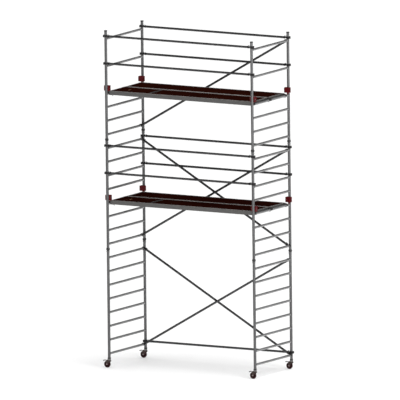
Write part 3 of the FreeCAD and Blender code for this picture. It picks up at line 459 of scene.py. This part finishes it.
FINISHES = {
    "frame_tube": (
        drawn_metal,
        dict(colour=LIT_RUNG_TONE, roughness=0.50, along="Y", ribs=0.0042, posts=SHADED_POST_TONE),
    ),
    "spigot_tube": (drawn_metal, dict(colour=SHADED_POST_TONE, roughness=0.36, along="Z")),
    "collar_ring": (cast, dict(colour=RING_TONE, roughness=0.45, grain=260.0, depth=0.0004, metallic=0.6)),
    "lock_pin_steel": (drawn_metal, dict(colour=PIN_TONE, roughness=0.28, along="X", metallic=1.0)),
    "rail_tube": (drawn_metal, dict(colour=SHADED_RAIL_TONE, roughness=0.50, along="X")),
    "brace_tube": (drawn_metal, dict(colour=SHADED_BRACE_TONE, roughness=0.50, along="X")),
    "claw_casting": (cast, dict(colour=CLAW_TONE, roughness=0.50, grain=240.0, depth=0.0006)),
    "latch_plastic": (cast, dict(colour=LATCH_TONE, roughness=0.40, grain=420.0, depth=0.0002)),
    "board_beam": (
        drawn_metal,
        dict(colour=BEAM_TONE, roughness=0.42, along="X", metallic=0.8, top_light=TOP_LIGHT_TONE),
    ),
    "deck_ply": (film_ply, dict(colour=DECK_TONE)),
    "lid_ply": (film_ply, dict(colour=DECK_TONE, leaf=HINGE_TONE)),
    "hinge_steel": (drawn_metal, dict(colour=HINGE_TONE, roughness=0.34, along="Y")),
    "hook_casting": (
        cast,
        dict(
            colour=HOOK_TONE, roughness=0.55, grain=180.0, depth=0.0007, metallic=0.5, wear_and_top_light=HOOK_WEAR_TONE
        ),
    ),
    "catch_steel": (drawn_metal, dict(colour=CATCH_TONE, roughness=0.35, along="X")),
    "bracket_red": (powder_coat, dict(colour=BRACKET_TONE, roughness=0.42)),
    "stem_steel": (drawn_metal, dict(colour=STEM_TONE, roughness=0.32, along="Z", metallic=0.95)),
    "fork_steel": (
        cast,
        dict(
            colour=FORK_TONE, roughness=0.42, grain=300.0, depth=0.0003, metallic=0.6, wear_and_top_light=FORK_WEAR_TONE
        ),
    ),
    "hub_plastic": (cast, dict(colour=HUB_TONE, roughness=0.48, grain=380.0, depth=0.0003)),
    "tyre_rubber": (rubber, dict(colour=TYRE_TONE)),
    "pedal_paint": (powder_coat, dict(colour=PEDAL_TONE, roughness=0.45)),
}
finishes = {slot: make(slot, **settings) for slot, (make, settings) in FINISHES.items()}
slots = {part["node"]: part["material_slot"] for part in frame["record"]["subparts"]}
for name, node in nodes.items():
    for material_slot in node.material_slots:
        material_slot.material = finishes[slots[name]]


# --- CAD nodes that keep their shape, with their edges broken ------------------

EDGE_BREAKS = {
    "claw_casting": 0.0022,
    "latch_plastic": 0.0012,
    "hook_casting": 0.0025,
    "bracket_red": 0.0035,
    "fork_steel": 0.0016,
    "pedal_paint": 0.0012,
    "collar_ring": 0.0016,
    "board_beam": 0.0007,
    "stem_steel": 0.0012,
    "catch_steel": 0.0007,
    "hinge_steel": 0.0004,
}
SAME_PLACE = 0.00001
SHARP_ANGLE = math.radians(40)


def break_edges(item, width):
    """Rounds sharp edges; facets of curved faces stay as they are."""
    weld = item.modifiers.new("weld", "WELD")
    weld.merge_threshold = SAME_PLACE
    bevel = item.modifiers.new("bevel", "BEVEL")
    bevel.width = width
    bevel.segments = 2
    bevel.limit_method = "ANGLE"
    bevel.angle_limit = SHARP_ANGLE
    bevel.use_clamp_overlap = True
    smooth = item.modifiers.new("normals", "WEIGHTED_NORMAL")
    smooth.keep_sharp = True


for name, node in nodes.items():
    if slots[name] in EDGE_BREAKS:
        break_edges(node, EDGE_BREAKS[slots[name]])


# --- Mesh helpers --------------------------------------------------------------

# The directions in which a lathe's profile or a fastener can point.
AXES = {"X": Vector((1, 0, 0)), "Y": Vector((0, 1, 0)), "Z": Vector((0, 0, 1))}
AXES.update({f"-{name}": -axis for name, axis in AXES.items()})
BOTH_WAYS = ((-1, "-Y"), (1, "Y"))
ON_AXIS = 1e-7


def add_piece(name, build, body, slot, smooth=True, bevel=None):
    """A new mesh object made by build(bm), riding on a body."""
    bm = bmesh.new()
    build(bm)
    bmesh.ops.recalc_face_normals(bm, faces=bm.faces)
    mesh = bpy.data.meshes.new(name)
    bm.to_mesh(mesh)
    bm.free()
    for face in mesh.polygons:
        face.use_smooth = smooth
    piece = bpy.data.objects.new(name, mesh)
    scene.collection.objects.link(piece)
    mesh.materials.append(finishes[slot])
    if bevel is not None:
        break_edges(piece, bevel)
    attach(piece, body)
    return piece


def lathe(bm, profile, place, axis="Z", steps=24, closed=False):
    """Turns (along, radius) points about an axis through place."""
    rotation = AXES[axis].to_track_quat("Z", "X").to_matrix()
    rows = []
    for along, radius in profile:
        row = []
        for step in range(steps if radius > ON_AXIS else 1):
            angle = 2 * math.pi * step / steps
            local = Vector((radius * math.cos(angle), radius * math.sin(angle), along))
            row.append(bm.verts.new(Vector(place) + rotation @ local))
        rows.append(row)
    pairs = list(zip(rows, rows[1:]))
    if closed:
        pairs.append((rows[-1], rows[0]))
    for low, high in pairs:
        for step in range(steps):
            ring = [low[step % len(low)], low[(step + 1) % len(low)]]
            ring += [high[(step + 1) % len(high)], high[step % len(high)]]
            corners = list(dict.fromkeys(ring))
            if len(corners) > 2:
                bm.faces.new(corners)


def prism(bm, outline, depth):
    """A closed block: an outline of points pushed along a vector."""
    near = [bm.verts.new(point) for point in outline]
    far = [bm.verts.new(Vector(point) + Vector(depth)) for point in outline]
    bm.faces.new(near)
    bm.faces.new(list(reversed(far)))
    for here in range(len(outline)):
        after = (here + 1) % len(outline)
        bm.faces.new((near[here], far[here], far[after], near[after]))


def block(bm, corner, opposite):
    """A closed box between two opposite corners."""
    x, y, z = corner
    far_x, far_y, far_z = opposite
    prism(bm, [(x, y, z), (far_x, y, z), (far_x, far_y, z), (x, far_y, z)], (0, 0, far_z - z))


def nut(bm, place, axis, radius, height):
    """A chamfered hexagon with its bolt's rounded end."""
    flat = radius * 0.9
    profile = [(0, 0), (0, flat), (height * 0.12, radius), (height * 0.88, radius)]
    profile += [(height, flat), (height, 0)]
    lathe(bm, profile, place, axis, 6)
    end = radius * 0.5
    tip = [(height, end), (height * 1.35, end), (height * 1.45, end * 0.7), (height * 1.45, 0)]
    lathe(bm, [(height * 0.9, 0), (height * 0.9, end)] + tip, place, axis, 16)


def rivet(bm, place, axis, radius, height):
    """A low domed head, sunk a little into its face."""
    profile = [(-0.0005, 0), (-0.0005, radius), (height * 0.35, radius * 0.96)]
    profile += [(height * 0.8, radius * 0.6), (height, 0)]
    lathe(bm, profile, place, axis, 14)


# --- Frames: weld beads --------------------------------------------------------

BEAD_RADIUS = 0.0032
BEAD_STEPS = 40
BEAD_SIDES = 7
BEAD_RIPPLE = 0.8 * math.pi


def weld_bead(bm, x, row, z):
    """Lumpy fillet where a rung meets its post."""
    rng = random.Random(f"{x:.3f} {row} {z:.3f}")
    along = Vector((0, -row, 0))
    rings = []
    for step in range(BEAD_STEPS):
        angle = 2 * math.pi * step / BEAD_STEPS
        out = Vector((math.cos(angle), 0, math.sin(angle)))
        across, up = RUNG_RADIUS * out.x, RUNG_RADIUS * out.z
        inward = math.sqrt(POST_RADIUS ** 2 - across ** 2)
        centre = Vector((x + across, row * (HALF_WIDTH - inward), z + up))
        size = BEAD_RADIUS * (1 + 0.16 * math.sin(step * BEAD_RIPPLE) + 0.1 * rng.uniform(-1, 1))
        ring = []
        for side in range(BEAD_SIDES):
            turn = 2 * math.pi * side / BEAD_SIDES
            ring.append(bm.verts.new(centre + size * (math.cos(turn) * out + math.sin(turn) * along)))
        rings.append(ring)
    for ring, after in zip(rings, rings[1:] + rings[:1]):
        for side in range(BEAD_SIDES):
            next_side = (side + 1) % BEAD_SIDES
            bm.faces.new((ring[side], after[side], after[next_side], ring[next_side]))


def frame_welds(bm, side, tier):
    """The beads at both ends of every rung of one ladder frame."""
    for step in RUNGS[tier]:
        for row in ROWS:
            weld_bead(bm, side * HALF_LENGTH, row, rung_height(tier, step))


for side, side_name in SIDES.items():
    for tier, tier_name in enumerate(TIERS):
        name = f"{side_name}_{tier_name}_welds"
        add_piece(name, lambda bm: frame_welds(bm, side, tier), "tower", "frame_tube")


# --- Platforms: rivets and hinge screws ----------------------------------------

SIDE_RIVETS = 13
SIDE_RIVET_PITCH = 0.24
SIDE_RIVET_INSET = 0.018
END_RIVET_INSET = 0.010
CORNER_RIVET_HEIGHT = 0.006
HINGE_SCREWS = 6
HINGE_SCREW_PITCH = 0.07
HINGE_SCREW_HEIGHT = 0.045
HINGE_SCREW_OFFSET = 0.022


def board_rivets(bm, level):
    """Rivets along the beams' lips and at the corners of both boards of a platform."""
    top = level + BEAM_TOP
    for front in BOARD_FRONTS:
        back = front + BOARD_WIDTH
        for step in range(SIDE_RIVETS):
            x = (step - SIDE_RIVETS // 2) * SIDE_RIVET_PITCH
            for y in (front + SIDE_RIVET_INSET, back - SIDE_RIVET_INSET):
                rivet(bm, (x, y, top), "Z", 0.0045, 0.0016)
        for end in SIDES:
            for share in (0.2, 0.5, 0.8):
                place = (end * (BOARD_END - END_RIVET_INSET), front + share * BOARD_WIDTH, top)
                rivet(bm, place, "Z", 0.004, 0.0014)
            for inset in (0.022, 0.055):
                for y, axis in ((front, "-Y"), (back, "Y")):
                    place = (end * (BOARD_END - inset), y, level + CORNER_RIVET_HEIGHT)
                    rivet(bm, place, axis, 0.0055, 0.0022)


def hinge_screws(bm, hinge, level, offset):
    """A row of screw heads in one leaf of a hinge, offset from its pin."""
    start = hinge[1] - (HINGE_SCREWS - 1) / 2 * HINGE_SCREW_PITCH
    for step in range(HINGE_SCREWS):
        place = (hinge[0] + offset, start + step * HINGE_SCREW_PITCH, level + HINGE_SCREW_HEIGHT)
        rivet(bm, place, "Z", 0.0042, 0.0013)


for tier, level_name in LEVELS.items():
    level = rung_height(tier, DECK_RUNG)
    hinge = joint_places[f"{level_name}_hatch_hinge"]
    add_piece(f"{level_name}_board_rivets", lambda bm: board_rivets(bm, level), "tower", "board_beam")
    for offset, part, body in (
        (HINGE_SCREW_OFFSET, "hinge", "tower"),
        (-HINGE_SCREW_OFFSET, "lid", f"{level_name}_lid"),
    ):
        name = f"{level_name}_{part}_screws"
        add_piece(name, lambda bm: hinge_screws(bm, hinge, level, offset), body, "hinge_steel")


# --- Toe-board brackets: ribs and clamp screws ---------------------------------

RIB_OFFSETS = (-0.036, -0.012, 0.012, 0.036)
RIB_HALF_WIDTH = 0.0025
RIB_FOOT = 0.056
RIB_TOP = 0.139
BRACKET_FACE = 0.070
RIB_SUNK = 0.0005
RIB_PROUD = 0.0030
CLAMP_SCREW_OUT = 0.052
CLAMP_SCREW_IN = 0.020
CLAMP_SCREW_HEIGHT = 0.098


def bracket_ribs(bm, level):
    """Four upright ribs on the inner face of each bracket."""
    for side in SIDES:
        for row in ROWS:
            face = row * (HALF_WIDTH - BRACKET_FACE)
            for offset in RIB_OFFSETS:
                x = side * HALF_LENGTH + offset
                sunk = (x - RIB_HALF_WIDTH, face + row * RIB_SUNK, level + RIB_FOOT)
                proud = (x + RIB_HALF_WIDTH, face - row * RIB_PROUD, level + RIB_TOP)
                block(bm, sunk, proud)


def bracket_screws(bm, level):
    """A clamp screw at each end of every bracket."""
    for side in SIDES:
        for row in ROWS:
            y = row * (HALF_WIDTH - CLAMP_SCREW_IN)
            for edge, axis in ((-1, "-X"), (1, "X")):
                x = side * HALF_LENGTH + edge * CLAMP_SCREW_OUT
                nut(bm, (x, y, level + CLAMP_SCREW_HEIGHT), axis, 0.0065, 0.005)


for tier, level_name in LEVELS.items():
    level = rung_height(tier, DECK_RUNG)
    name = f"{level_name}_bracket_ribs"
    add_piece(name, lambda bm: bracket_ribs(bm, level), "tower", "bracket_red", False, 0.001)
    name = f"{level_name}_bracket_screws"
    add_piece(name, lambda bm: bracket_screws(bm, level), "tower", "lock_pin_steel", False)


# --- Claws: latch rivets, fingers and pawls ------------------------------------

GUARD_RUNGS = (5, 7)
RAIL_RISE = 0.05
LATCH_INSET = 0.012
LATCH_HALF_WIDTH = 0.007
LATCH_RISE = 0.0045
FINGER_HALF_HEIGHT = 0.022
PAWL_NEAR = 0.0385
PAWL_FAR = 0.0465
PAWL_HALF_WIDTH = 0.0165
PAWL_HALF_HEIGHT = 0.018

# One finger of a claw, from its jaw's tip outwards past the post: (outward, sideways).
FINGER = [(0.014, 0.0285), (0.026, 0.0315), (0.038, 0.0285), (0.047, 0.0205), (0.0475, 0.0140)]
FINGER += [(0.0420, 0.0135), (0.0350, 0.0195), (0.0270, 0.0225), (0.0200, 0.0240)]


def rail_lines():
    """The row and height of every level tube: the guard rails, then the brace near the floor."""
    for tier in LEVELS:
        for step in GUARD_RUNGS:
            for row in ROWS:
                yield row, rung_height(tier, step) + RAIL_RISE
    yield 1, rung_height(0, 0) + RAIL_RISE


def rail_rivets(bm):
    """The pivot rivet of each latch on top of a rail's claw."""
    for row, height in rail_lines():
        for side in SIDES:
            x = side * (HALF_LENGTH - POST_RADIUS - LATCH_INSET)
            for edge, axis in BOTH_WAYS:
                place = (x, row * HALF_WIDTH + edge * LATCH_HALF_WIDTH, height + RAIL_RADIUS + LATCH_RISE)
                rivet(bm, place, axis, 0.0022, 0.0012)


def claw_fingers(bm):
    """Two fingers round each post and the sprung pawl that closes their mouth."""
    for row, height in rail_lines():
        y = row * HALF_WIDTH
        for side in SIDES:
            for edge in (-1, 1):
                outline = []
                for outward, sideways in FINGER:
                    x = side * (HALF_LENGTH + outward)
                    outline.append((x, y + edge * sideways, height - FINGER_HALF_HEIGHT))
                prism(bm, outline, (0, 0, 2 * FINGER_HALF_HEIGHT))
            near, far = side * (HALF_LENGTH + PAWL_NEAR), side * (HALF_LENGTH + PAWL_FAR)
            low, high = height - PAWL_HALF_HEIGHT, height + PAWL_HALF_HEIGHT
            block(bm, (near, y - PAWL_HALF_WIDTH, low), (far, y + PAWL_HALF_WIDTH, high))


add_piece("rail_latch_rivets", rail_rivets, "tower", "lock_pin_steel")
add_piece("rail_claw_fingers", claw_fingers, "tower", "claw_casting", bevel=0.002)


# --- Joint clamps: a split ring with its bolt over each post joint -------------

# The ring's section, as (along the post, radius).
CLAMP = [(-0.0130, 0.0297), (-0.0130, 0.0318), (-0.0110, 0.0338), (0.0110, 0.0338)]
CLAMP += [(0.0130, 0.0318), (0.0130, 0.0297)]
CLAMP_RISE = 0.004
EAR_NEAR = 0.0022
EAR_FAR = 0.0075
EAR_ROOT = 0.0325
EAR_LENGTH = 0.0095
EAR_HALF_HEIGHT = 0.011
BOLT_OUT = 0.0375


def joint_clamps(bm):
    """A ring, two ears and a bolt at the foot of every post of the upper tiers."""
    for tier in LEVELS:
        height = FRAME_FOOT + tier * TIER_HEIGHT + CLAMP_RISE
        for side in SIDES:
            for row in ROWS:
                x, y = side * HALF_LENGTH, row * HALF_WIDTH
                lathe(bm, CLAMP, (x, y, height), "Z", 48, closed=True)
                root, tip = y + row * EAR_ROOT, y + row * (EAR_ROOT + EAR_LENGTH)
                for edge in (-1, 1):
                    near = (x + edge * EAR_NEAR, root, height - EAR_HALF_HEIGHT)
                    far = (x + edge * EAR_FAR, tip, height + EAR_HALF_HEIGHT)
                    block(bm, near, far)
                nut(bm, (x + EAR_FAR, y + row * BOLT_OUT, height), "X", 0.0042, 0.0035)


add_piece("post_joint_clamps", joint_clamps, "tower", "collar_ring")


# --- Casters -------------------------------------------------------------------

# Half sections of the wheel, as (from its middle plane, radius).
TYRE = [(0.0140, 0.0460), (0.0157, 0.0485), (0.0160, 0.0505), (0.0154, 0.0512), (0.0160, 0.0520)]
TYRE += [(0.0158, 0.0556), (0.0146, 0.0588), (0.0122, 0.0608), (0.0090, 0.0619), (0.0062, 0.0623)]
TYRE += [(0.0057, 0.0614), (0.0045, 0.0614), (0.0040, 0.0625), (0.0010, 0.0625)]
CORE = [(0.0185, 0.0056), (0.0185, 0.0122), (0.0172, 0.0138), (0.0090, 0.0165), (0.0050, 0.0186)]
DISC = [(0.0060, 0.0182), (0.0045, 0.0230), (0.0042, 0.0350), (0.0062, 0.0378), (0.0128, 0.0392)]
DISC += [(0.0140, 0.0402), (0.0140, 0.0450), (0.0132, 0.0459)]

# Sections of the washer at each end of the axle and of the swivel's seal, as (along, radius).
WASHER = [(0.0240, 0.0088), (0.0240, 0.0146), (0.0256, 0.0146), (0.0268, 0.0134), (0.0268, 0.0088)]
SEAL = [(0.1385, 0.0278), (0.1385, 0.0288), (0.1400, 0.0296), (0.1440, 0.0296)]
SEAL += [(0.1455, 0.0288), (0.1455, 0.0278)]

# The grip round the pedal's end, from the side, as (along, up) from the pedal's pin.
GRIP = [(-0.040, -0.0015), (-0.0405, 0.0006), (-0.0655, -0.0004), (-0.0675, -0.0030)]
GRIP += [(-0.0670, -0.0105), (-0.0645, -0.0128), (-0.0440, -0.0112), (-0.040, -0.0085)]
GRIP_HALF_WIDTH = 0.027

SPOKES = 8
SPOKE_HALF_THICKNESS = 0.0016
SPOKE_ROOT = 0.0150
SPOKE_TIP = 0.0385
SPOKE_FOOT = 0.003
SPOKE_TIP_WIDTH = 0.0105
SPOKE_ROOT_WIDTH = 0.0150
SEAL_LIPS = 3
SEAL_LIP_FOOT = 0.1345
SEAL_LIP_PITCH = 0.0012
SEAL_LIP_HEIGHT = 0.0006
SEAL_LIP_RADII = (0.0275, 0.0284)
FORK_FACE = 0.029
TREADS = 5
TREAD_START = 0.0455
TREAD_PITCH = 0.0042
TREAD_SLOPE = 0.00018
TREAD_HALF_WIDTH = 0.0009
TREAD_HALF_LENGTH = 0.024
TREAD_FOOT = -0.0014
TREAD_TOP = 0.0018


def both_sides(half):
    """A profile mirrored about the wheel's middle plane, as one closed loop."""
    return half + [(-along, radius) for along, radius in reversed(half)]


def wheel_disc(bm, axle):
    """The thin disc between hub and tyre, with spokes on both faces."""
    lathe(bm, both_sides(DISC), axle, "Y", 72, closed=True)
    for step in range(SPOKES):
        turn = 2 * math.pi * step / SPOKES
        out = Vector((math.cos(turn), 0, math.sin(turn)))
        across = Vector((-math.sin(turn), 0, math.cos(turn))) * SPOKE_HALF_THICKNESS
        root = Vector(axle) + out * SPOKE_ROOT - across
        tip = Vector(axle) + out * SPOKE_TIP - across
        for face in (-1, 1):
            along = Vector((0, face, 0))
            outline = [root + along * SPOKE_FOOT, tip + along * SPOKE_FOOT]
            outline += [tip + along * SPOKE_TIP_WIDTH, root + along * SPOKE_ROOT_WIDTH]
            prism(bm, outline, across * 2)


def washers(bm, axle):
    """A washer on each side of the hub."""
    for _, axis in BOTH_WAYS:
        lathe(bm, WASHER, axle, axis, 40, closed=True)


def fork_fasteners(bm, axle, pin):
    """The axle's nuts and the pedal pin's heads, on both faces of the fork."""
    for edge, axis in BOTH_WAYS:
        nut(bm, (axle[0], axle[1] + edge * FORK_FACE, axle[2]), axis, 0.0085, 0.0055)
        rivet(bm, (pin[0], pin[1] + edge * FORK_FACE, pin[2]), axis, 0.0042, 0.002)


def swivel_seal(bm, x, y):
    """A raised ring over the swivel's race, with three lips below it."""
    lathe(bm, SEAL, (x, y, 0), "Z", 48, closed=True)
    inner, outer = SEAL_LIP_RADII
    for step in range(SEAL_LIPS):
        low = SEAL_LIP_FOOT + step * SEAL_LIP_PITCH
        high = low + SEAL_LIP_HEIGHT
        lip = [(low, inner), (low, outer), (high, outer), (high, inner)]
        lathe(bm, lip, (x, y, 0), "Z", 48, closed=True)


def pedal_grip(bm, pin):
    """A rounded block round the pedal's end."""
    outline = [(pin[0] + along, pin[1] - GRIP_HALF_WIDTH, pin[2] + up) for along, up in GRIP]
    prism(bm, outline, (0, 2 * GRIP_HALF_WIDTH, 0))


def pedal_treads(bm, pin):
    """Raised bars across the pedal's grip, which falls towards its end."""
    for step in range(TREADS):
        x = pin[0] - TREAD_START - step * TREAD_PITCH
        height = pin[2] - step * TREAD_SLOPE
        low = (x - TREAD_HALF_WIDTH, pin[1] - TREAD_HALF_LENGTH, height + TREAD_FOOT)
        high = (x + TREAD_HALF_WIDTH, pin[1] + TREAD_HALF_LENGTH, height + TREAD_TOP)
        block(bm, low, high)


def caster(name, x, y, axle, pin):
    """A wheel in place of the frame's plain one, and the fittings of its fork and pedal."""

    def tyre(bm):
        lathe(bm, both_sides(TYRE), axle, "Y", 96, closed=True)

    def core(bm):
        lathe(bm, both_sides(CORE), axle, "Y", 72, closed=True)

    wheel, swivel, pedal = f"{name}_wheel", f"{name}_swivel", f"{name}_pedal"
    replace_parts(add_piece(f"{name}_tyre_tread", tyre, wheel, "tyre_rubber"), f"{name}_tyre")
    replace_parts(add_piece(f"{name}_hub_core", core, wheel, "hub_plastic"), f"{name}_wheel_hub")
    disc = add_piece(
        f"{name}_spoked_disc", lambda bm: wheel_disc(bm, axle), wheel, "tyre_rubber", bevel=0.0006
    )
    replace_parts(disc, f"{name}_wheel_hub")
    add_piece(f"{name}_axle_washers", lambda bm: washers(bm, axle), swivel, "hub_plastic")
    add_piece(f"{name}_pedal_grip", lambda bm: pedal_grip(bm, pin), pedal, "pedal_paint", bevel=0.0015)
    fasteners = f"{name}_axle_nuts"
    add_piece(fasteners, lambda bm: fork_fasteners(bm, axle, pin), swivel, "lock_pin_steel", False)
    add_piece(f"{name}_swivel_seal", lambda bm: swivel_seal(bm, x, y), swivel, "stem_steel")
    add_piece(f"{name}_pedal_treads", lambda bm: pedal_treads(bm, pin), pedal, "pedal_paint", False)


for side, side_name in SIDES.items():
    for row, row_name in ROWS.items():
        name = f"{row_name}_{side_name}"
        axle, pin = joint_places[f"{name}_wheel_roll"], joint_places[f"{name}_brake"]
        caster(name, side * HALF_LENGTH, row * HALF_WIDTH, axle, pin)
